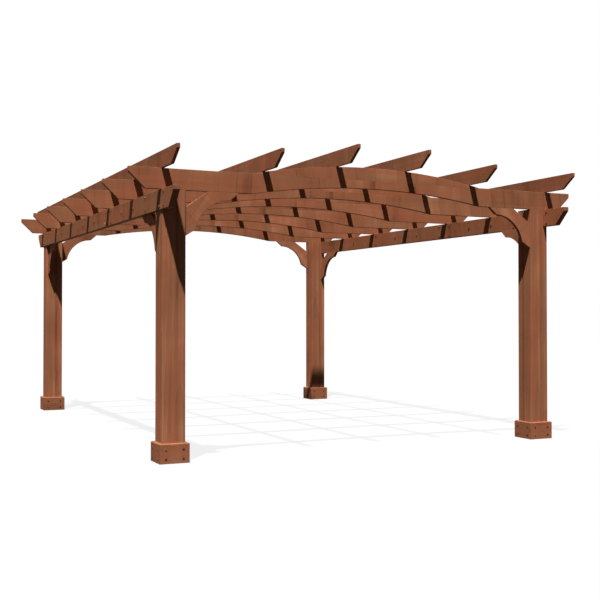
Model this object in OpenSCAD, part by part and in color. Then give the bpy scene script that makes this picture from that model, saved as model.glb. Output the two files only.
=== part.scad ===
// Free-standing timber pergola, built from sawn boards and squared posts.
// Four posts with skirted feet carry two side beams. Arched rafters cross the
// beams, boards lie along the top of the rafters, and eight curved braces
// stiffen the corners.
//
// X runs across, along the rafters. Y runs from the front to the back, along
// the side beams. Z is up. The origin is on the ground, midway between the posts.

/* [Plan] */
// Distance between post centres across the pergola
post_pitch_x = 3840; // [3000:10:4800]
// Distance between post centres from front to back
post_pitch_y = 5110; // [3000:10:6600]

/* [Posts] */
// Side of the square posts
post_w = 204; // [140:1:260]
// Height of the posts, which is the underside of the rafters
post_h = 2315; // [1900:5:2800]

/* [Feet] */
// Thickness of the boards that skirt the foot of each post
skirt_t = 30; // [15:1:45]
// Height of the skirting boards
skirt_h = 170; // [80:1:300]

/* [Side beams] */
// How far each side beam runs past the centres of its posts
beam_overhang = 425; // [250:5:700]
// Height of each side beam
beam_h = 170; // [140:1:240]
// Thickness of each side beam
beam_t = 58; // [25:1:70]
// How far each side beam stands out from the posts that it is let into
beam_proud = 10; // [0:1:20]
// Height of the blunt tip at each end of a side beam
beam_tip = 38; // [15:1:80]
// Length of the sloping cut under each end of a side beam
beam_cut = 132; // [60:1:260]

/* [Rafters] */
// Number of rafters
rafter_count = 7; // [2:1:9]
// How far each rafter runs past the centres of the posts
rafter_overhang = 395; // [300:5:700]
// Height of each rafter
rafter_h = 180; // [150:1:240]
// Thickness of each rafter
rafter_t = 38; // [25:1:60]
// How far the end rafters are set back from the faces of the posts
rafter_setback = 10; // [0:1:40]
// Height of the blunt tip at each end of a rafter
rafter_tip = 42; // [15:1:80]
// Length of the sloping cut under each end of a rafter
rafter_cut = 144; // [60:1:260]
// Half the span of the arch in the middle of each rafter
arch_half = 1210; // [700:5:1300]
// Rise of the arch cut into the underside of a rafter
arch_rise = 107; // [40:1:146]
// Rise of the crown on top of a rafter
crown_rise = 122; // [40:1:146]
// How far the crown stops short of each end, so that it has no feather edge
crown_stop = 15; // [10:1:60]

/* [Top boards] */
// Number of top boards, of which the outer two are in line with the side beams
top_count = 6; // [4:1:6]
// How far each top board runs past the centres of the posts
top_overhang = 520; // [300:5:800]
// Height of each top board
top_h = 146; // [90:1:200]
// Thickness of each top board
top_t = 28; // [18:1:45]
// Distance between neighbours of the inner top boards
top_pitch = 730; // [500:5:780]
// Height of the blunt tip at each end of a top board
top_tip = 37; // [15:1:60]
// Length of the sloping cut under each end of a top board
top_cut = 158; // [60:1:220]

/* [Braces] */
// Reach of a brace along the timber above it
brace_reach = 490; // [400:5:640]
// Drop of a brace down its post
brace_drop = 390; // [320:5:560]
// Thickness of each brace
brace_t = 38; // [25:1:60]
// How far the side braces are set in from the outer faces of the posts
brace_inset = 20; // [0:1:30]
// Length of the sloping cut at the nose of a brace, under the timber above it
brace_nose = 80; // [40:5:120]
// Height of the sloping cut at the nose of a brace
brace_nose_h = 70; // [40:5:100]
// Width of the foot of a brace, where its curved edge is nearest to the post
brace_toe = 90; // [60:5:120]
// Height of the back edge of a brace on its post, below the timber above
brace_heel = 145; // [80:5:200]
// Distance from the post at which the back edge of a brace meets the timber above
brace_gap = 205; // [100:5:300]

/* [Hidden] */
RAFTER_NODES = [for (i = [1 : rafter_count]) str("rafter_", i)];
CROWN_NODES = [for (i = [1 : rafter_count]) str("crown_", i)];
TOP_NODES = [for (i = [1 : top_count]) str("top_board_", i)];
$fn = 180;

post_x = post_pitch_x / 2;
post_y = post_pitch_y / 2;
beam_len = post_pitch_y + 2 * beam_overhang;
rafter_len = post_pitch_x + 2 * rafter_overhang;
top_len = post_pitch_y + 2 * top_overhang;
beam_z = post_h - beam_h;
beam_outer = post_x + post_w / 2 + beam_proud;
beam_mid = beam_outer - beam_t / 2;
rafter_top = post_h + rafter_h;
// The end rafters stand on the posts, and the others are spaced evenly between
rafter_end_y = post_y + post_w / 2 - rafter_setback - rafter_t / 2;
rafter_pitch = 2 * rafter_end_y / (rafter_count - 1);

// Radius of an arch over the half span, from its rise
function arch_radius(rise) = (arch_half * arch_half + rise * rise) / (2 * rise);

crown_r = arch_radius(crown_rise);
crown_half = arch_half - crown_stop;
// The curved edge of a brace is a quarter circle from its nose to its foot
brace_r = brace_reach - brace_nose - brace_toe;
// Rise of the sloping cut across the foot of a brace
brace_toe_h = 56;
// How far a cut runs past the faces that it opens
past = 1;
post_colour = "sienna";
board_colour = "peru";

// Height of the top of a rafter and its crown at a distance x from the middle
function rafter_top_at(x) =
    x >= crown_half
        ? rafter_top
        : rafter_top + sqrt(crown_r * crown_r - x * x) - crown_r + crown_rise;

function rafter_y(i) = -rafter_end_y + (i - 1) * rafter_pitch;

// The outer top boards are flush with the outer faces of the side beams
function top_x(i) =
    i == 1 ? top_t / 2 - beam_outer
    : i == top_count ? beam_outer - top_t / 2
    : (i - (top_count + 1) / 2) * top_pitch;

// Side view of a board with a blunt tip and a sloping cut under each end,
// standing on the line y = 0
module tailed_board(len, h, tip, cut) {
    polygon([
        [-len / 2 + cut, 0], [len / 2 - cut, 0],
        [len / 2, h - tip], [len / 2, h],
        [-len / 2, h], [-len / 2, h - tip]
    ]);
}

// Stands a profile drawn in X and Z upright, centred on the line y = 0
module upright(t) {
    translate([0, t / 2, 0])
        rotate([90, 0, 0])
            linear_extrude(t)
                children();
}

// Stands a profile drawn in Y and Z upright, centred on the line x = 0
module upright_side(t) {
    rotate([0, 0, 90])
        upright(t)
            children();
}

// The disc whose edge is an arch: it crosses the line y = 0 at the arch's ends
module arch_disc(rise) {
    radius = arch_radius(rise);
    translate([0, rise - radius])
        circle(radius, $fn = 720);
}

module post(sx, sy) {
    notch_depth = beam_t - beam_proud;
    color(post_colour)
        translate([sx * post_x, sy * post_y, 0])
            difference() {
                translate([-post_w / 2, -post_w / 2, 0])
                    cube([post_w, post_w, post_h]);
                // Notch that the side beam is let into
                translate([sx * (post_w - notch_depth + past) / 2, 0, beam_z + (beam_h + past) / 2])
                    cube([notch_depth + past, post_w + 2 * past, beam_h + past], center = true);
            }
}

module skirt(sx, sy) {
    outer = post_w + 2 * skirt_t;
    color(post_colour)
        translate([sx * post_x, sy * post_y, 0])
            linear_extrude(skirt_h)
                difference() {
                    square(outer, center = true);
                    square(post_w, center = true);
                }
}

module beam(sx) {
    color(board_colour)
        translate([sx * beam_mid, 0, beam_z])
            upright_side(beam_t)
                tailed_board(beam_len, beam_h, beam_tip, beam_cut);
}

module rafter(i) {
    color(board_colour)
        translate([0, rafter_y(i), post_h])
            upright(rafter_t)
                difference() {
                    tailed_board(rafter_len, rafter_h, rafter_tip, rafter_cut);
                    arch_disc(arch_rise);
                }
}

// The piece on top of a rafter that completes its arch
module crown(i) {
    color(board_colour)
        translate([0, rafter_y(i), rafter_top])
            upright(rafter_t)
                intersection() {
                    arch_disc(crown_rise);
                    translate([-crown_half, 0])
                        square([2 * crown_half, crown_rise + past]);
                }
}

// A top board stands on the highest part of the rafters under it
module top_board(i) {
    inner_edge = max(abs(top_x(i)) - top_t / 2, 0);
    color(board_colour)
        translate([top_x(i), 0, rafter_top_at(inner_edge)])
            upright_side(top_t)
                tailed_board(top_len, top_h, top_tip, top_cut);
}

// Side view of a brace: the post is the line x = 0, and the timber above it is
// the line y = 0. The disc takes off all that is below the curved edge.
module brace_outline() {
    centre = [brace_reach - brace_nose, -brace_nose_h - brace_r];
    difference() {
        polygon([
            [0, -brace_heel], [brace_gap, 0], [brace_reach, 0],
            [brace_reach - brace_nose, -brace_nose_h], centre,
            [2 * brace_toe, 2 * brace_toe_h - brace_drop], [0, -brace_drop]
        ]);
        translate(centre)
            circle(brace_r);
    }
}

// Brace between a post and the end rafter over it
module cross_brace(sx, sy) {
    color(board_colour)
        translate([sx * (post_x - post_w / 2), sy * rafter_end_y, post_h])
            mirror([sx > 0 ? 1 : 0, 0, 0])
                upright(brace_t)
                    brace_outline();
}

// Brace between a post and the side beam
module side_brace(sx, sy) {
    x = post_x + post_w / 2 - brace_inset - brace_t / 2;
    color(board_colour)
        translate([sx * x, sy * (post_y - post_w / 2), beam_z])
            mirror([0, sy > 0 ? 1 : 0, 0])
                upright_side(brace_t)
                    brace_outline();
}

post(-1, -1);  // post_front_left
post(1, -1);  // post_front_right
post(-1, 1);  // post_back_left
post(1, 1);  // post_back_right
skirt(-1, -1);  // skirt_front_left
skirt(1, -1);  // skirt_front_right
skirt(-1, 1);  // skirt_back_left
skirt(1, 1);  // skirt_back_right
beam(-1);  // beam_left
beam(1);  // beam_right
for (i = [1 : rafter_count]) {
    rafter(i);
    crown(i);
}
for (i = [1 : top_count]) {
    top_board(i);
}
cross_brace(-1, -1);  // cross_brace_front_left
cross_brace(1, -1);  // cross_brace_front_right
cross_brace(-1, 1);  // cross_brace_back_left
cross_brace(1, 1);  // cross_brace_back_right
side_brace(-1, -1);  // side_brace_front_left
side_brace(1, -1);  // side_brace_front_right
side_brace(-1, 1);  // side_brace_back_left
side_brace(1, 1);  // side_brace_back_right
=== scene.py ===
import math
import random

import bmesh
import bpy
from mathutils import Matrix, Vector


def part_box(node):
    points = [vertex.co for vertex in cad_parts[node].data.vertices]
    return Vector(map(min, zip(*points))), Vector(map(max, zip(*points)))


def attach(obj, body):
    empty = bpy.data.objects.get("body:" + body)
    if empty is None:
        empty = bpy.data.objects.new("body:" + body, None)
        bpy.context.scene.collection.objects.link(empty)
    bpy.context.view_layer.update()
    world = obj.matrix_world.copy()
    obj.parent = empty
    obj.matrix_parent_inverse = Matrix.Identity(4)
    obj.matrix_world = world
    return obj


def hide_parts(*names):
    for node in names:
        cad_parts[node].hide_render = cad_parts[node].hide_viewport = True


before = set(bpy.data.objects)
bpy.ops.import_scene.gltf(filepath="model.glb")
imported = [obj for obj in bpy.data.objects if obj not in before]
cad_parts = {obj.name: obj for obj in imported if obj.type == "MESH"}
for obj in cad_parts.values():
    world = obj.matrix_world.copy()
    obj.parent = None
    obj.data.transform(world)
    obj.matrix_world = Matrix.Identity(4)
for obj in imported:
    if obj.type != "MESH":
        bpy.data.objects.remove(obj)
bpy.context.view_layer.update()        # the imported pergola: bodies, nodes, joints and record
print("frame loaded:", len(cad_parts), "nodes")

sides = ("left", "right")
ends = ("front", "back")
corners = [(end, side) for end in ends for side in sides]
dice = random.Random(41)        # every random choice is drawn from here, in order
hair = 1e-4        # a distance too small to see


cameraView = {
    "place": (-4.507, -10.767, 1.272),
    "turn": 0.4447,        # to the right of +Y
    "tilt": 0.0166,        # above the horizon
    "lens": 59.8,
    "sensor": 36.0,
    "shift": (-0.0173, -0.0067),
}


def addCamera(view):
    data = bpy.data.cameras.new("camera")
    data.lens = view["lens"]
    data.sensor_width = view["sensor"]
    data.shift_x, data.shift_y = view["shift"]
    camera = bpy.data.objects.new("camera", data)
    camera.location = view["place"]
    camera.rotation_euler = (math.pi / 2 + view["tilt"], 0, -view["turn"])
    bpy.context.scene.collection.objects.link(camera)
    bpy.context.scene.camera = camera


addCamera(cameraView)
print("camera placed")


def newTree(name, inputs, outputs):
    tree = bpy.data.node_groups.new(name, "ShaderNodeTree")
    for label, kind, value in inputs:
        socket = tree.interface.new_socket(label, in_out="INPUT", socket_type=kind)
        if value is not None:
            socket.default_value = value
    for label, kind in outputs:
        tree.interface.new_socket(label, in_out="OUTPUT", socket_type=kind)
    return tree, tree.nodes.new("NodeGroupInput"), tree.nodes.new("NodeGroupOutput")


def put(socket, tree, value):
    if hasattr(value, "is_output"):
        tree.links.new(value, socket)
    else:
        socket.default_value = value


def mathNode(tree, operation, a, b=0.5, c=0.0, clamp=False):
    node = tree.nodes.new("ShaderNodeMath")
    node.operation = operation
    node.use_clamp = clamp
    for socket, value in zip(node.inputs, (a, b, c)):
        put(socket, tree, value)
    return node.outputs[0]


def vectorNode(tree, operation, a, b=(0, 0, 0)):
    node = tree.nodes.new("ShaderNodeVectorMath")
    node.operation = operation
    put(node.inputs[0], tree, a)
    put(node.inputs[1], tree, b)
    return node.outputs["Value" if operation == "LENGTH" else "Vector"]


def addShare(tree, total, value, share):        # adds a value of 0 to 1 about its middle, times a share
    return mathNode(tree, "MULTIPLY_ADD", value, share, mathNode(tree, "SUBTRACT", total, share / 2))


def splitVector(tree, vector):
    node = tree.nodes.new("ShaderNodeSeparateXYZ")
    put(node.inputs[0], tree, vector)
    return node.outputs


def noiseNode(tree, place, stretch, detail=2.0, roughness=0.5, distortion=0.0):
    node = tree.nodes.new("ShaderNodeTexNoise")
    node.inputs["Scale"].default_value = 1.0
    node.inputs["Detail"].default_value = detail
    node.inputs["Roughness"].default_value = roughness
    node.inputs["Distortion"].default_value = distortion
    put(node.inputs["Vector"], tree, vectorNode(tree, "MULTIPLY", place, stretch))
    return node.outputs["Fac"]


def rangeNode(tree, value, low, high, toLow=0.0, toHigh=1.0):
    node = tree.nodes.new("ShaderNodeMapRange")
    node.interpolation_type = "SMOOTHSTEP"
    put(node.inputs["Value"], tree, value)
    node.inputs["From Min"].default_value = low
    node.inputs["From Max"].default_value = high
    node.inputs["To Min"].default_value = toLow
    node.inputs["To Max"].default_value = toHigh
    return node.outputs["Result"]


def mixColour(tree, share, a, b, blend="MIX"):
    node = tree.nodes.new("ShaderNodeMix")
    node.data_type = "RGBA"
    node.blend_type = blend
    put(node.inputs["Factor"], tree, share)
    put(node.inputs["A"], tree, a)
    put(node.inputs["B"], tree, b)
    return node.outputs["Result"]


def colour(red, green, blue):        # 0 to 255 as painted, to the linear values that shaders use
    def straight(value):
        share = value / 255
        return share / 12.92 if share <= 0.04045 else ((share + 0.055) / 1.055) ** 2.4
    return (straight(red), straight(green), straight(blue), 1.0)


lapShape = {        # brushed lengths: how many to a metre, and their seams, in shares of a length
    "perMetre": 4.8, "lean": 0.35, "leanNoise": (0.4, 5, 5), "seam": (0.010, 0.035), "overlap": 0.8,
}


def lapMarks(tree, place, strength):        # stain brushed on in lengths, darker where they overlap
    lean = mathNode(tree, "MULTIPLY_ADD", noiseNode(tree, place, lapShape["leanNoise"], detail=1.5),
                    lapShape["lean"], 0.0)
    lap = mathNode(tree, "MULTIPLY_ADD", splitVector(tree, place)["X"], lapShape["perMetre"], lean)
    lengths, seams = tree.nodes.new("ShaderNodeTexVoronoi"), tree.nodes.new("ShaderNodeTexVoronoi")
    for node, feature in ((lengths, "F1"), (seams, "DISTANCE_TO_EDGE")):
        node.voronoi_dimensions = "1D"
        node.feature = feature
        node.inputs["Scale"].default_value = 1.0
        put(node.inputs["W"], tree, lap)
    coats = tree.nodes.new("ShaderNodeSeparateColor")
    put(coats.inputs["Color"], tree, lengths.outputs["Color"])
    overlap = rangeNode(tree, seams.outputs["Distance"], *lapShape["seam"], 1.0, 0.0)
    coat = mathNode(tree, "SUBTRACT", coats.outputs["Red"], 0.5)
    mark = mathNode(tree, "MULTIPLY_ADD", overlap, -lapShape["overlap"], coat)
    return mathNode(tree, "MULTIPLY", mark, strength)


grainNoise = {        # how often each noise turns in a metre, along the trunk and across it
    "sway": (0.9, 7, 7), "broad": (0.35, 17, 17), "narrow": (1.1, 75, 75), "fibre": (14, 700, 700),
    "patch": (2.2, 3.0, 3.0), "cast": (0.8, 6, 6),
    "figure": (8, 1.3, 1.3),        # bands across the grain
}
grainTone = {        # how far each part of the figure moves the tone, which lies about the middle
    "broad": 1.15, "narrow": 0.50, "fibre": 0.20, "patch": 0.80, "late": -0.16, "knot": -0.10, "middle": 0.56,
}
grainHeight = {"fibre": 0.55, "late": 0.35, "narrow": 0.35, "knot": -0.5}
ringShape = {"taper": 0.012, "lateness": 2.2}        # rings close in along x, and darken late in each year
castEnds = (0.36, 0.64)        # of its noise, from reddest to most olive
knotShape = {"scatter": (1.9, 5.2, 5.2), "reach": (0.03, 0.26), "leftOut": 0.62, "core": (0.80, 0.97),
             "push": 0.012}


def knotField(tree, place, strength):        # a sparse scatter of small knots, 1 at their middles
    cells = tree.nodes.new("ShaderNodeTexVoronoi")
    cells.feature = "F1"
    cells.inputs["Scale"].default_value = 1.0
    put(cells.inputs["Vector"], tree, vectorNode(tree, "MULTIPLY", place, knotShape["scatter"]))
    near = rangeNode(tree, cells.outputs["Distance"], *knotShape["reach"], 1.0, 0.0)
    rare = tree.nodes.new("ShaderNodeSeparateColor")
    put(rare.inputs["Color"], tree, cells.outputs["Color"])
    kept = mathNode(tree, "GREATER_THAN", rare.outputs["Red"], knotShape["leftOut"])
    return mathNode(tree, "MULTIPLY", mathNode(tree, "MULTIPLY", near, kept), strength)


def makeGrain():        # softwood figure in a block of timber, with x along the trunk
    tree, given, result = newTree(
        "timberGrain",
        [("Place", "NodeSocketVector", None), ("Ring", "NodeSocketFloat", 0.009),
         ("Streak", "NodeSocketFloat", 1.0), ("Knot", "NodeSocketFloat", 1.0),
         ("Sway", "NodeSocketFloat", 0.03), ("Figure", "NodeSocketFloat", 0.5),
         ("Laps", "NodeSocketFloat", 0.0)],
        [("Tone", "NodeSocketFloat"), ("Height", "NodeSocketFloat"), ("Knots", "NodeSocketFloat"),
         ("Cast", "NodeSocketFloat")])
    place = given.outputs["Place"]
    knotNear = knotField(tree, place, given.outputs["Knot"])
    knotCore = rangeNode(tree, knotNear, *knotShape["core"])

    # the grain sways, and bends round knots
    sway = noiseNode(tree, place, grainNoise["sway"], detail=1.5)
    swayBy = mathNode(tree, "MULTIPLY", mathNode(tree, "SUBTRACT", sway, 0.5), given.outputs["Sway"])
    swayBy = mathNode(tree, "MULTIPLY_ADD", knotNear, knotShape["push"], swayBy)
    shove = tree.nodes.new("ShaderNodeCombineXYZ")
    for axis in ("Y", "Z"):
        put(shove.inputs[axis], tree, swayBy)
    bent = vectorNode(tree, "ADD", place, shove.outputs["Vector"])

    fromPith = vectorNode(tree, "LENGTH", vectorNode(tree, "MULTIPLY", bent, (ringShape["taper"], 1, 1)))
    ringCount = mathNode(tree, "DIVIDE", fromPith, given.outputs["Ring"])
    late = mathNode(tree, "POWER", mathNode(tree, "FRACT", ringCount), ringShape["lateness"])

    broad = noiseNode(tree, bent, grainNoise["broad"], detail=2.0, roughness=0.55)
    narrow = noiseNode(tree, bent, grainNoise["narrow"], detail=2.0, roughness=0.6)
    fibre = noiseNode(tree, bent, grainNoise["fibre"], detail=2.0, roughness=0.6)
    patch = noiseNode(tree, place, grainNoise["patch"], detail=2.0)
    cast = noiseNode(tree, place, grainNoise["cast"], detail=1.0)
    figure = noiseNode(tree, place, grainNoise["figure"], detail=2.5, roughness=0.6)

    tone = mathNode(tree, "MULTIPLY_ADD", broad, grainTone["broad"], -grainTone["broad"] / 2)
    tone = addShare(tree, tone, narrow, grainTone["narrow"])
    tone = mathNode(tree, "MULTIPLY", tone, given.outputs["Streak"])
    tone = addShare(tree, tone, fibre, grainTone["fibre"])
    tone = addShare(tree, tone, patch, grainTone["patch"])
    figureBy = mathNode(tree, "MULTIPLY", mathNode(tree, "SUBTRACT", figure, 0.5), given.outputs["Figure"])
    tone = mathNode(tree, "ADD", tone, figureBy)
    tone = mathNode(tree, "ADD", tone, lapMarks(tree, place, given.outputs["Laps"]))
    tone = mathNode(tree, "MULTIPLY_ADD", late, grainTone["late"],
                    mathNode(tree, "ADD", tone, grainTone["middle"]))
    tone = mathNode(tree, "MULTIPLY_ADD", knotNear, grainTone["knot"], tone, clamp=True)
    put(result.inputs["Tone"], tree, tone)

    height = mathNode(tree, "MULTIPLY_ADD", fibre, grainHeight["fibre"],
                      mathNode(tree, "MULTIPLY", late, grainHeight["late"]))
    height = mathNode(tree, "MULTIPLY_ADD", narrow, grainHeight["narrow"], height)
    height = mathNode(tree, "MULTIPLY_ADD", knotCore, grainHeight["knot"], height)
    put(result.inputs["Height"], tree, height)
    put(result.inputs["Knots"], tree, knotCore)
    put(result.inputs["Cast"], tree, rangeNode(tree, cast, *castEnds))
    return tree


edgeMarkShape = {"noise": (9, 30, 30), "paleSpots": (0.52, 0.68), "pooledAndShaded": (0.25, 0.60), "leastPooledAndShaded": 0.75}


def makeEdgeMarks():        # eased edges: painted darker along them, painted shade with stain gathered there too, and rubbed paler in spots (on the screws a painted highlight)
    tree, given, result = newTree(
        "edgeWearShadeAndHighlight",
        [("Place", "NodeSocketVector", None), ("Edge", "NodeSocketFloat", 0.0),
         ("Gathered", "NodeSocketFloat", 0.7), ("Rubbed", "NodeSocketFloat", 0.3)],
        [("Dark", "NodeSocketFloat"), ("PaleWearAndLight", "NodeSocketFloat")])
    spread = noiseNode(tree, given.outputs["Place"], edgeMarkShape["noise"], detail=3.0, roughness=0.65)
    spots = rangeNode(tree, spread, *edgeMarkShape["paleSpots"])
    paleWearAndLight = mathNode(tree, "MULTIPLY", given.outputs["Edge"], spots)
    put(result.inputs["PaleWearAndLight"], tree, mathNode(tree, "MULTIPLY", paleWearAndLight, given.outputs["Rubbed"]))
    pooledAndShaded = rangeNode(tree, spread, *edgeMarkShape["pooledAndShaded"], 1.0, edgeMarkShape["leastPooledAndShaded"])
    dark = mathNode(tree, "MULTIPLY", given.outputs["Edge"], pooledAndShaded)
    put(result.inputs["Dark"], tree, mathNode(tree, "MULTIPLY", dark, given.outputs["Gathered"]))
    return tree


grainTree = makeGrain()
edgeMarkTree = makeEdgeMarks()


def attribute(tree, name):
    node = tree.nodes.new("ShaderNodeAttribute")
    node.attribute_type = "GEOMETRY"
    node.attribute_name = name
    return node


def useGroup(tree, group, **values):
    node = tree.nodes.new("ShaderNodeGroup")
    node.node_tree = group
    for label, value in values.items():
        put(node.inputs[label], tree, value)
    return node.outputs


def newMaterial(name):
    material = bpy.data.materials.new(name)
    material.use_nodes = True
    return material, material.node_tree, material.node_tree.nodes["Principled BSDF"]


def bumpNode(tree, height, strength, distance):
    node = tree.nodes.new("ShaderNodeBump")
    node.inputs["Strength"].default_value = strength
    node.inputs["Distance"].default_value = distance
    put(node.inputs["Height"], tree, height)
    return node.outputs["Normal"]


def shadeStretches(tree, tone, finish):        # bands down a post, and a stretch along a board
    local = splitVector(tree, attribute(tree, "localPlace").outputs["Vector"])
    core = 0.25        # the share of a band that has its full tone
    for axis, at, half, lift in finish.get("bands", []):        # heartwood and sapwood
        away = mathNode(tree, "ABSOLUTE", mathNode(tree, "SUBTRACT", local[axis], at))
        inBand = rangeNode(tree, away, half * core, half, 1.0, 0.0)
        tone = mathNode(tree, "MULTIPLY_ADD", inBand, lift, tone)
    if "darkEnd" in finish:        # a dark stretch that stops short at one line across the board
        start, stop, lift = finish["darkEnd"]
        inStretch = rangeNode(tree, local["X"], start, stop)
        before = mathNode(tree, "LESS_THAN", local["X"], stop)
        inStretch = mathNode(tree, "MULTIPLY", inStretch, before)
        tone = mathNode(tree, "MULTIPLY_ADD", inStretch, lift, tone)
    return tone


def paintTimber(tree, tone, grain, edgeMarks, finish):        # the colour of each point from its tone
    low = mixColour(tree, rangeNode(tree, tone, 0.0, 0.5), finish["dark"], finish["mid"])
    paint = mixColour(tree, rangeNode(tree, tone, 0.5, 1.0), low, finish["light"])
    paint = mixColour(tree, grain["Knots"], paint, finish["knotColour"])
    castTint = mixColour(tree, grain["Cast"], finish["redCast"], finish["oliveCast"])
    paint = mixColour(tree, 1.0, paint, castTint, "MULTIPLY")
    facing = splitVector(tree, tree.nodes.new("ShaderNodeNewGeometry").outputs["Normal"])
    # painted highlight: faces turned to the sky are painted paler towards the worn colour, standing in for
    # the light falling from above
    paintedTopLight = rangeNode(tree, facing["Z"], *finish["skyward"], 0.0, finish["paintedTopLight"])
    paint = mixColour(tree, paintedTopLight, paint, finish["paleWearAndLight"])        # what faces the sky is paler
    # painted shade: eased edges are painted darker, dimming the light they catch, with stain gathered there
    # too
    paint = mixColour(tree, edgeMarks["Dark"], paint, finish["edge"])
    return mixColour(tree, edgeMarks["PaleWearAndLight"], paint, finish["paleWearAndLight"])


def stainedTimber(name, finish):
    material, tree, shader = newMaterial(name)
    place = attribute(tree, "grainPlace").outputs["Vector"]
    batch = attribute(tree, "batch").outputs["Fac"]        # how light this board is, 0 to 1
    edge = attribute(tree, "edge").outputs["Fac"]
    grain = useGroup(tree, grainTree, Place=place, Ring=finish["ring"],
                     Streak=finish["streak"], Knot=finish["knot"], Sway=finish["sway"],
                     Figure=finish["figure"], Laps=finish["laps"])
    edgeMarks = useGroup(tree, edgeMarkTree, Place=place, Edge=edge, Gathered=finish["gatheredAndShade"],
                    Rubbed=finish["rubbedAndLit"])
    tone = addShare(tree, grain["Tone"], batch, finish["spread"])
    tone = shadeStretches(tree, tone, finish)
    put(shader.inputs["Base Color"], tree, paintTimber(tree, tone, grain, edgeMarks, finish))

    rough = mathNode(tree, "MULTIPLY_ADD", grain["Tone"], finish["roughSpread"],
                     finish["roughness"] - finish["roughSpread"] / 2)
    rough = mathNode(tree, "MULTIPLY_ADD", edgeMarks["PaleWearAndLight"], finish["wornRougher"], rough)
    put(shader.inputs["Roughness"], tree, rough)
    shader.inputs["Specular IOR Level"].default_value = finish["gloss"]
    put(shader.inputs["Normal"], tree, bumpNode(tree, grain["Height"], finish["bump"], finish["bumpDepth"]))
    return material


timberFinish = {
    "dark": colour(114, 69, 47), "mid": colour(145, 91, 65), "light": colour(171, 113, 83),
    # the edge colour is painted on eased edges, painted shade with gathered stain; the pale worn colour marks
    # rubbed spots and is also the painted highlight on sky-facing faces
    "knotColour": colour(80, 44, 30), "edge": colour(100, 54, 32), "paleWearAndLight": colour(184, 128, 102),
    "redCast": (1.05, 0.97, 0.93, 1.0), "oliveCast": (0.94, 1.01, 0.98, 1.0),
    "ring": 0.0085, "streak": 0.38, "sway": 0.024, "figure": 0.75, "knot": 0.8,
    "laps": 0.22, "spread": 0.20, "gatheredAndShade": 0.30, "rubbedAndLit": 0.2,
    # how much paler the sky-facing faces are painted, a painted highlight from above
    "paintedTopLight": 0.15, "skyward": (0.35, 0.70),        # from this slope to that: upright is 0, level is 1
    "roughness": 0.80, "roughSpread": 0.16, "wornRougher": 0.08,
    "gloss": 0.03, "bump": 0.55, "bumpDepth": 0.0012,
}
framingTimber = stainedTimber("framingTimber", timberFinish)
rafterTimber = stainedTimber("rafterTimber", timberFinish | {"darkEnd": (-0.085, 0.035, -0.42)})
beamTimber = stainedTimber("beamTimber", timberFinish | {
    "dark": colour(106, 63, 40), "mid": colour(137, 86, 60), "light": colour(160, 105, 76),
    # the beams' eased edges are painted darker still, painted shade with gathered stain
    "gatheredAndShade": 0.5, "laps": 0.14, "spread": 0.10})
topTimber = stainedTimber("topBoardTimber", timberFinish | {
    "dark": colour(104, 62, 42), "mid": colour(134, 84, 60), "light": colour(158, 104, 77),
    "ring": 0.007, "figure": 0.6, "laps": 0.18})
closeFinish = {"edge": colour(84, 56, 42), "gatheredAndShade": 0.85, "laps": 0.0}        # posts and feet: their eased corners painted much darker, a painted shade line with stain gathered there
skirtTimber = stainedTimber("skirtingTimber", timberFinish | closeFinish | {"streak": 0.5, "figure": 0.4})
postTimber = stainedTimber("postTimber", timberFinish | closeFinish | {
    "ring": 0.011, "streak": 0.62, "sway": 0.008, "figure": 0.12, "knot": 0.4,
    "bands": [("Y", 0.026, 0.020, -0.26), ("Z", 0.024, 0.020, -0.22),
              ("Y", -0.008, 0.016, 0.14), ("Z", -0.010, 0.016, 0.12),
              ("Y", 0.076, 0.018, 0.12), ("Z", 0.076, 0.018, 0.10)]})
print("timber materials made")


def tailedOutline(length, height, tip, cut):        # blunt tips with a sloping cut under each
    half = length / 2
    return [(-half + cut, 0), (half - cut, 0), (half, height - tip), (half, height),
            (-half, height), (-half, height - tip)]


def arcPoints(centre, radius, start, stop, steps):        # start and stop in radians
    return [(centre[0] + radius * math.cos(start + (stop - start) * k / steps),
             centre[1] + radius * math.sin(start + (stop - start) * k / steps))
            for k in range(steps + 1)]


def tidyLoop(points):        # drops a point that lies on the one before it
    kept = []
    for point in points:
        if not kept or math.dist(point, kept[-1]) > hair:
            kept.append(point)
    return kept


def faceOutward(mesh):
    bmesh.ops.recalc_face_normals(mesh, faces=mesh.faces)
    if mesh.calc_volume(signed=True) < 0:
        bmesh.ops.reverse_faces(mesh, faces=mesh.faces)


def easeEdges(mesh, edges, ease):
    made = bmesh.ops.bevel(mesh, geom=edges, offset=ease, segments=2, profile=0.6,
                           affect="EDGES", clamp_overlap=True)
    return set(made["faces"])


sawing = {        # an edge is sharp, or a corner, over this angle, and long over this length
    "sharp": math.radians(18), "corner": 0.3, "longEdge": 0.2,
}


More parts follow.
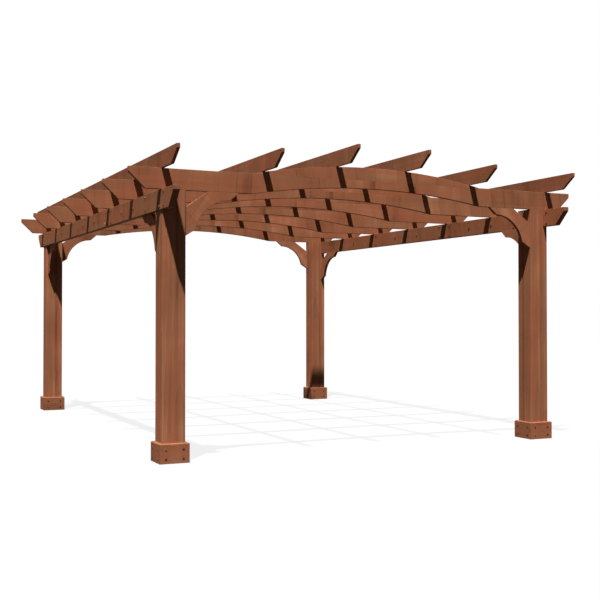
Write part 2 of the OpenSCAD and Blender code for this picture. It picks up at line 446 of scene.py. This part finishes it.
def sawBoard(outline, thickness, ease, lengthEase=None, chamfer=None):
    # A board with its outline in x and z, its thickness in y, and its sharp edges eased.
    # Where lengthEase is given, the long edges along z are eased by that much. A chamfer is a
    # width, and a test of an edge's middle that says which edges it is cut along.
    mesh = bmesh.new()
    front = [mesh.verts.new((x, -thickness / 2, z)) for x, z in outline]
    back = [mesh.verts.new((x, thickness / 2, z)) for x, z in outline]
    mesh.faces.new(front)
    mesh.faces.new(list(reversed(back)))
    count = len(outline)
    for k in range(count):
        after = (k + 1) % count
        mesh.faces.new((front[after], front[k], back[k], back[after]))
    faceOutward(mesh)
    rounded = set()
    if chamfer:
        width, wanted = chamfer
        cut = [edge for edge in mesh.edges if wanted((edge.verts[0].co + edge.verts[1].co) / 2)]
        bmesh.ops.bevel(mesh, geom=cut, offset=width, segments=1, affect="EDGES")
    if lengthEase:
        upright = [edge for edge in mesh.edges
                   if edge.calc_face_angle_signed() > sawing["corner"]
                   and abs((edge.verts[0].co - edge.verts[1].co).z) > sawing["longEdge"]]
        rounded = easeEdges(mesh, upright, lengthEase)
    sharp = [edge for edge in mesh.edges if edge.calc_face_angle() > sawing["sharp"]
             and not all(face in rounded for face in edge.link_faces)]
    edgeFaces = easeEdges(mesh, sharp, ease) | {face for face in rounded if face.is_valid}
    return mesh, edgeFaces


trunk = {        # where boards are cut from it: the last two are shares of the usual distance to the pith
    "along": 40, "sideways": 0.06, "nearest": 0.6, "furthest": 1.6,
}


def finishBoard(mesh, edgeFaces, place, grainTurn=0.0, pith=0.16):
    # Writes where each point lies in its timber, then stands the board in its place.
    localPlace = mesh.verts.layers.float_vector.new("localPlace")
    grainPlace = mesh.verts.layers.float_vector.new("grainPlace")
    batch = mesh.verts.layers.float.new("batch")
    edge = mesh.loops.layers.float.new("edge")
    lightness = dice.random()
    away = Vector((dice.uniform(0, trunk["along"]), dice.uniform(-trunk["sideways"], trunk["sideways"]),
                   dice.uniform(trunk["nearest"], trunk["furthest"]) * pith))
    cosine, sine = math.cos(grainTurn), math.sin(grainTurn)
    for face in mesh.faces:
        face.smooth = True
        for loop in face.loops:
            loop[edge] = 1.0 if face in edgeFaces else 0.0
    for vert in mesh.verts:
        x, y, z = vert.co
        vert[localPlace] = vert.co
        vert[grainPlace] = Vector((x * cosine + z * sine, y, z * cosine - x * sine)) + away
        vert[batch] = lightness
    for vert in mesh.verts:
        vert.co = place(vert.co)
    faceOutward(mesh)
    return mesh


def newPiece(name, mesh, material):
    data = bpy.data.meshes.new(name)
    mesh.to_mesh(data)
    mesh.free()
    data.materials.append(material)
    piece = bpy.data.objects.new(name, data)
    bpy.context.scene.collection.objects.link(piece)
    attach(piece, "root")
    return piece


def addBoards(name, boards, material, node):        # one piece of one or more boards, for a node
    whole = bmesh.new()
    for board in boards:
        part = bpy.data.meshes.new("board")
        board.to_mesh(part)
        whole.from_mesh(part)
        board.free()
        bpy.data.meshes.remove(part)
    piece = newPiece(name, whole, material)
    even = piece.modifiers.new("evenShading", "WEIGHTED_NORMAL")
    even.keep_sharp = False
    even.weight = 100
    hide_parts(node)


def alongX(centreX, centreY, bottom):        # board runs across the pergola
    return lambda point: Vector((centreX + point.x, centreY + point.y, bottom + point.z))


def alongY(centreX, centreY, bottom):        # board runs from front to back
    return lambda point: Vector((centreX - point.y, centreY + point.x, bottom + point.z))


def middle(node):
    low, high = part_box(node)
    return (low + high) / 2, high - low, low


rafterShape = {"tip": 0.042, "cut": 0.144, "archHalf": 1.210, "archRise": 0.107,
               "crownRise": 0.122, "archSteps": 48, "ease": 0.0025, "crownEase": 0.0012, "pith": 0.20}


def archLine(shape, rise, half):        # from right to left, over the line z = 0
    radius = (shape["archHalf"] ** 2 + rise ** 2) / (2 * rise)
    reach = math.asin(half / radius)
    top = math.pi / 2
    return arcPoints((0, rise - radius), radius, top - reach, top + reach, shape["archSteps"])


def rafterOutline(length, height, shape):
    outline = tailedOutline(length, height, shape["tip"], shape["cut"])
    arch = archLine(shape, shape["archRise"], shape["archHalf"])
    return [outline[0]] + list(reversed(arch)) + outline[1:]


def crownOutline(length, shape):
    arch = archLine(shape, shape["crownRise"], length / 2)
    return [(-length / 2, 0), (length / 2, 0)] + arch


def addRafters():
    count = sum(node.startswith("rafter_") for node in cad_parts)
    for number in range(1, count + 1):
        for kind in ("rafter", "crown"):
            node = f"{kind}_{number}"
            centre, size, low = middle(node)
            if kind == "rafter":
                outline = rafterOutline(size.x, size.z, rafterShape)
                ease, timber = rafterShape["ease"], rafterTimber
            else:
                outline = crownOutline(size.x, rafterShape)
                ease, timber = rafterShape["crownEase"], framingTimber
            mesh, eased = sawBoard(tidyLoop(outline), size.y, ease)
            board = finishBoard(mesh, eased, alongX(centre.x, centre.y, low.z),
                                pith=rafterShape["pith"])
            addBoards(f"{node}_board", [board], timber, node)
    return count


rafterCount = addRafters()
print("rafters made:", rafterCount)


beamShape = {"tip": 0.038, "cut": 0.132, "ease": 0.0025}
topShape = {"tip": 0.037, "cut": 0.158, "ease": 0.002}


def addLongBoards(nodes, shape, material):
    for node in nodes:
        centre, size, low = middle(node)
        outline = tailedOutline(size.y, size.z, shape["tip"], shape["cut"])
        mesh, eased = sawBoard(outline, size.x, shape["ease"])
        board = finishBoard(mesh, eased, alongY(centre.x, centre.y, low.z))
        addBoards(f"{node}_board", [board], material, node)


addLongBoards([f"beam_{side}" for side in sides], beamShape, beamTimber)
topNodes = sorted(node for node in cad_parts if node.startswith("top_board_"))
addLongBoards(topNodes, topShape, topTimber)
print("beams and top boards made")


braceShape = {"nose": 0.080, "noseHeight": 0.070, "toe": 0.090, "toeHeight": 0.056,
              "heel": 0.145, "gap": 0.205, "steps": 28, "ease": 0.003, "turn": -0.66}


def braceOutline(reach, drop, shape):        # the post is x = 0, the timber above it z = 0
    radius = reach - shape["nose"] - shape["toe"]
    centre = (reach - shape["nose"], -shape["noseHeight"] - radius)
    slope = shape["toeHeight"] / shape["toe"]
    # where the sloping foot z = slope x - drop meets the curved edge
    a = 1 + slope ** 2
    b = -2 * centre[0] - 2 * slope * (drop + centre[1])
    c = centre[0] ** 2 + (drop + centre[1]) ** 2 - radius ** 2
    footX = (-b - math.sqrt(b * b - 4 * a * c)) / (2 * a)
    footZ = slope * footX - drop
    stop = math.atan2(footZ - centre[1], footX - centre[0])
    curve = arcPoints(centre, radius, math.pi / 2, stop, shape["steps"])
    return [(0, -shape["heel"]), (0, -drop)] + list(reversed(curve)) + [(reach, 0), (shape["gap"], 0)]


def crossPlace(centre, reach, top, inward):        # from a post towards the other side
    foot = centre.x - inward * reach / 2
    return lambda point: Vector((foot + inward * point.x, centre.y + point.y, top + point.z))


def sidePlace(centre, reach, top, inward):        # from a post towards the other end
    foot = centre.y - inward * reach / 2
    return lambda point: Vector((centre.x + point.y, foot + inward * point.x, top + point.z))


def addBraces():
    for end, side in corners:
        ways = (("cross", crossPlace, 1 if side == "left" else -1),
                ("side", sidePlace, 1 if end == "front" else -1))
        for kind, placer, inward in ways:
            node = f"{kind}_brace_{end}_{side}"
            centre, size, low = middle(node)
            reach = max(size.x, size.y)
            outline = braceOutline(reach, size.z, braceShape)
            mesh, eased = sawBoard(outline, min(size.x, size.y), braceShape["ease"])
            place = placer(centre, reach, low.z + size.z, inward)
            board = finishBoard(mesh, eased, place, grainTurn=braceShape["turn"])
            addBoards(f"{node}_board", [board], framingTimber, node)


addBraces()
print("braces made")


postShape = {"lengthEase": 0.005, "ease": 0.001, "pith": 0.07}
skirtShape = {"ease": 0.002, "gap": 0.0006, "chamfer": 0.008, "pith": 0.09}


def upPost(centre):        # the trunk's line stands up the post
    return lambda point: Vector((centre.x + point.y, centre.y + point.z, point.x))


def addPosts():
    for end, side in corners:
        node = f"post_{end}_{side}"
        centre, size, low = middle(node)
        beamLow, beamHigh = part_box(f"beam_{side}")
        outward = -1 if side == "left" else 1
        inner = beamHigh.x if side == "left" else beamLow.x
        half = size.x / 2
        notch = outward * (inner - centre.x)        # from the post's middle to the back of the notch
        seat = beamLow.z
        outline = [(-half, 0), (half, 0), (half, seat), (notch, seat), (notch, size.z), (-half, size.z)]
        mesh, eased = sawBoard(outline, size.y, postShape["ease"], postShape["lengthEase"])
        for vert in mesh.verts:
            vert.co = (vert.co.z, outward * vert.co.x, vert.co.y)
        board = finishBoard(mesh, eased, upPost(centre), pith=postShape["pith"])
        addBoards(f"{node}_timber", [board], postTimber, node)


def skirtBoard(long, sign, centre, size, low, thick):
    # The long boards cover the ends of the short ones.
    half = size.x / 2 if long else size.x / 2 - thick - skirtShape["gap"]
    outline = [(-half, 0), (half, 0), (half, size.z), (-half, size.z)]
    out = sign if long else -sign        # the way that is outward, along the board's own y

    def onTopOutside(point):
        atEnd = long and abs(point.x) > half - hair
        return point.z > size.z - hair and (point.y * out > thick / 2 - hair or atEnd)

    mesh, eased = sawBoard(outline, thick, skirtShape["ease"], chamfer=(skirtShape["chamfer"], onTopOutside))
    if long:
        place = alongX(centre.x, centre.y + sign * (size.y - thick) / 2, low.z)
    else:
        place = alongY(centre.x + sign * (size.x - thick) / 2, centre.y, low.z)
    return finishBoard(mesh, eased, place, pith=skirtShape["pith"])


def addSkirts():
    for end, side in corners:
        node = f"skirt_{end}_{side}"
        centre, size, low = middle(node)
        postSize = middle(f"post_{end}_{side}")[1]
        thick = (size.x - postSize.x) / 2
        boards = [skirtBoard(long, sign, centre, size, low, thick)
                  for sign in (-1, 1) for long in (True, False)]
        addBoards(f"{node}_boards", boards, skirtTimber, node)


addPosts()
addSkirts()
print("posts and feet made")


tallScrew = {"flange": 0.0115, "flangeHeight": 0.0024, "head": 0.0080, "headHeight": 0.0085,
             "socket": 0.0034, "socketDepth": 0.0030, "sunk": 0.0008, "sides": 24,
             "flangeBevel": (0.94, 0.6), "headBevel": (0.82, 0.8),        # shares of radius and height
             "flatsOut": 1.06, "lobes": 0.16}
flatScrew = tallScrew | {"flangeHeight": 0.0014, "headHeight": 0.0030, "socketDepth": 0.0018}


# the pale colour goes on the flange's top and the head's bevel in spots, a painted highlight with some wear
screwFinish = {"dark": colour(82, 40, 22), "light": colour(108, 56, 32), "paleWearAndLight": colour(200, 150, 115),
               "mottle": (220, 220, 220), "rubbedAndLit": 0.9, "gloss": 0.2, "bump": 0.2, "bumpDepth": 0.0004}


def makeScrewMaterial():
    material, tree, shader = newMaterial("coatedScrew")
    place = attribute(tree, "grainPlace").outputs["Vector"]
    edge = attribute(tree, "edge").outputs["Fac"]
    edgeMarks = useGroup(tree, edgeMarkTree, Place=place, Edge=edge, Gathered=0.0, Rubbed=screwFinish["rubbedAndLit"])
    mottle = noiseNode(tree, place, screwFinish["mottle"], detail=3.0)
    paint = mixColour(tree, mottle, screwFinish["dark"], screwFinish["light"])
    # painted highlight: the pale spots on the screw heads' rims
    put(shader.inputs["Base Color"], tree, mixColour(tree, edgeMarks["PaleWearAndLight"], paint, screwFinish["paleWearAndLight"]))
    put(shader.inputs["Roughness"], tree, mathNode(tree, "MULTIPLY_ADD", mottle, 0.25, 0.45))
    shader.inputs["Specular IOR Level"].default_value = screwFinish["gloss"]
    put(shader.inputs["Normal"], tree, bumpNode(tree, mottle, screwFinish["bump"], screwFinish["bumpDepth"]))
    return material


def screwProfile(shape):        # rings from the back to the floor of the socket: radius, height and form
    flange, head, socket = shape["flange"], shape["head"], shape["socket"]
    seat, top = shape["flangeHeight"], shape["headHeight"]
    (flangeIn, flangeUp), (headIn, headUp) = shape["flangeBevel"], shape["headBevel"]
    return [(flange, -shape["sunk"], "round"), (flange, seat * flangeUp, "round"),
            (flange * flangeIn, seat, "round"), (head, seat, "flats"),
            (head, top * headUp, "flats"), (head * headIn, top, "flats"),
            (socket, top, "lobes"), (socket, top - shape["socketDepth"], "lobes")]


def ringReach(shape, radius, form, angle):        # from the screw's middle to its outline, at an angle
    if form == "flats":        # the head has six
        turn = angle % (math.pi / 3) - math.pi / 6
        return radius * math.cos(math.pi / 6) / math.cos(turn) * shape["flatsOut"]
    if form == "lobes":        # and its socket has six
        return radius * (1 + shape["lobes"] * math.cos(6 * angle))
    return radius


def turnedScrew(mesh, layers, at, outward, shape):
    # One flanged screw head with a socket, turned about the way it faces.
    count = shape["sides"]
    outward = Vector(outward).normalized()
    up = Vector((0, 0, 1))
    across = up.cross(outward)
    spin = dice.uniform(0, math.pi)
    rings = []
    for radius, height, form in screwProfile(shape):
        ring = []
        for k in range(count):
            angle = 2 * math.pi * k / count
            reach = ringReach(shape, radius, form, angle + spin)
            point = at + across * reach * math.cos(angle) + up * reach * math.sin(angle) + outward * height
            ring.append(mesh.verts.new(point))
        rings.append(ring)
    faces = []
    for level, (ring, following) in enumerate(zip(rings, rings[1:])):
        for k in range(count):
            after = (k + 1) % count
            face = mesh.faces.new((ring[k], ring[after], following[after], following[k]))
            faces.append((face, level in (2, 4)))        # the flange's top and the head's bevel: painted paler in spots, a painted highlight with some wear
    faces.append((mesh.faces.new(rings[-1]), False))
    faces.append((mesh.faces.new(list(reversed(rings[0]))), False))
    for face, wornAndHighlit in faces:
        for loop in face.loops:
            loop[layers["edge"]] = 1.0 if wornAndHighlit else 0.0
            loop.vert[layers["grainPlace"]] = loop.vert.co


def addScrews(name, spots, shape, material):
    mesh = bmesh.new()
    layers = {"grainPlace": mesh.verts.layers.float_vector.new("grainPlace"),
              "edge": mesh.loops.layers.float.new("edge")}
    for at, outward in spots:
        turnedScrew(mesh, layers, Vector(at), outward, shape)
    bmesh.ops.recalc_face_normals(mesh, faces=mesh.faces)
    newPiece(name, mesh, material)


skirtScrews = {"fromEdge": 0.055, "heights": (0.040, 0.119)}
beamScrews = {        # places along each side beam, from front to back, and heights on it
    "pairs": (-2.71, -2.60, -2.17, -0.95, -0.73, 0.80, 2.20, 2.60), "high": 0.143, "low": 0.027,
    "singles": (-1.77, -1.35, -0.22, 0.30, 1.43), "middle": 0.085, "hiddenBy": 0.12,
}


def skirtSpots(node):
    centre, size, low = middle(node)
    spots = []
    reach = size.x / 2 - skirtScrews["fromEdge"]
    for outward in ((0, -1, 0), (0, 1, 0), (-1, 0, 0), (1, 0, 0)):
        facing = Vector(outward)
        along = Vector((facing.y, -facing.x, 0))
        for shift in (-reach, reach):
            for height in skirtScrews["heights"]:
                spot = centre + facing * size.x / 2 + along * shift
                spots.append(((spot.x, spot.y, low.z + height), outward))
    return spots


def beamSpots(side):
    centre, size, low = middle(f"beam_{side}")
    postRows = [middle(f"post_{end}_{side}")[0].y for end in ends]
    spots = []
    for face in (-1, 1):
        x = centre.x + face * size.x / 2
        isInner = face * centre.x < 0
        for y in beamScrews["pairs"]:
            if isInner and any(abs(y - row) < beamScrews["hiddenBy"] for row in postRows):
                continue        # a post covers this place
            for height in (beamScrews["high"], beamScrews["low"]):
                spots.append(((x, y, low.z + height), (face, 0, 0)))
        for y in beamScrews["singles"]:
            spots.append(((x, y, low.z + beamScrews["middle"]), (face, 0, 0)))
    return spots


screwMaterial = makeScrewMaterial()
for end, side in corners:
    addScrews(f"skirt_screws_{end}_{side}", skirtSpots(f"skirt_{end}_{side}"), flatScrew, screwMaterial)
for side in sides:
    addScrews(f"beam_screws_{side}", beamSpots(side), tallScrew, screwMaterial)
print("screws made")


studio = {
    "floorSize": 160.0, "floorColour": 0.40, "floorBounce": 0.03, "floorWhite": 0.85,
    "sky": 0.09, "keyWay": (0.26, 0.33, -1.0), "keyStrength": 8.4, "keyAngle": 1.6,
    "backWay": (-0.55, -0.75, -0.15), "backStrength": 3.0, "backAngle": 40.0,
}


def seenDirectly(tree):        # camera, mirror and see-through rays
    path = tree.nodes.new("ShaderNodeLightPath")
    seen = mathNode(tree, "ADD", path.outputs["Is Camera Ray"], path.outputs["Is Glossy Ray"])
    return mathNode(tree, "ADD", seen, path.outputs["Is Transmission Ray"], clamp=True)


def mixShader(tree, share, a, b):
    node = tree.nodes.new("ShaderNodeMixShader")
    put(node.inputs[0], tree, share)
    tree.links.new(a, node.inputs[1])
    tree.links.new(b, node.inputs[2])
    return node.outputs[0]


def addFloor():
    half = studio["floorSize"] / 2
    mesh = bpy.data.meshes.new("floor")
    spots = [(-half, -half, 0), (half, -half, 0), (half, half, 0), (-half, half, 0)]
    mesh.from_pydata(spots, [], [(0, 1, 2, 3)])
    floor = bpy.data.objects.new("floor", mesh)
    bpy.context.scene.collection.objects.link(floor)
    material, tree, shader = newMaterial("paleFloor")
    tree.nodes.remove(shader)
    plain, bounce = tree.nodes.new("ShaderNodeBsdfDiffuse"), tree.nodes.new("ShaderNodeBsdfDiffuse")
    plain.inputs["Color"].default_value = (studio["floorColour"],) * 3 + (1,)
    bounce.inputs["Color"].default_value = (studio["floorBounce"],) * 3 + (1,)
    white = tree.nodes.new("ShaderNodeEmission")
    shown = mixShader(tree, studio["floorWhite"], plain.outputs[0], white.outputs[0])
    whole = mixShader(tree, seenDirectly(tree), bounce.outputs[0], shown)
    tree.links.new(whole, tree.nodes["Material Output"].inputs["Surface"])
    mesh.materials.append(material)


def addWorld():
    world = bpy.data.worlds.new("studio")
    world.use_nodes = True
    bpy.context.scene.world = world
    tree = world.node_tree
    background = tree.nodes["Background"]
    background.inputs["Color"].default_value = (1, 1, 1, 1)
    strength = mathNode(tree, "MULTIPLY_ADD", seenDirectly(tree), 1 - studio["sky"], studio["sky"])
    put(background.inputs["Strength"], tree, strength)


def addSun(name, way, strength, angle):
    data = bpy.data.lights.new(name, "SUN")
    data.energy = strength
    data.angle = math.radians(angle)
    lamp = bpy.data.objects.new(name, data)
    lamp.rotation_euler = Vector(way).to_track_quat("-Z", "Y").to_euler()
    bpy.context.scene.collection.objects.link(lamp)


addFloor()
addWorld()
addSun("keyLight", studio["keyWay"], studio["keyStrength"], studio["keyAngle"])
addSun("backLight", studio["backWay"], studio["backStrength"], studio["backAngle"])
bpy.context.scene.view_settings.view_transform = "Standard"
print("studio lit")
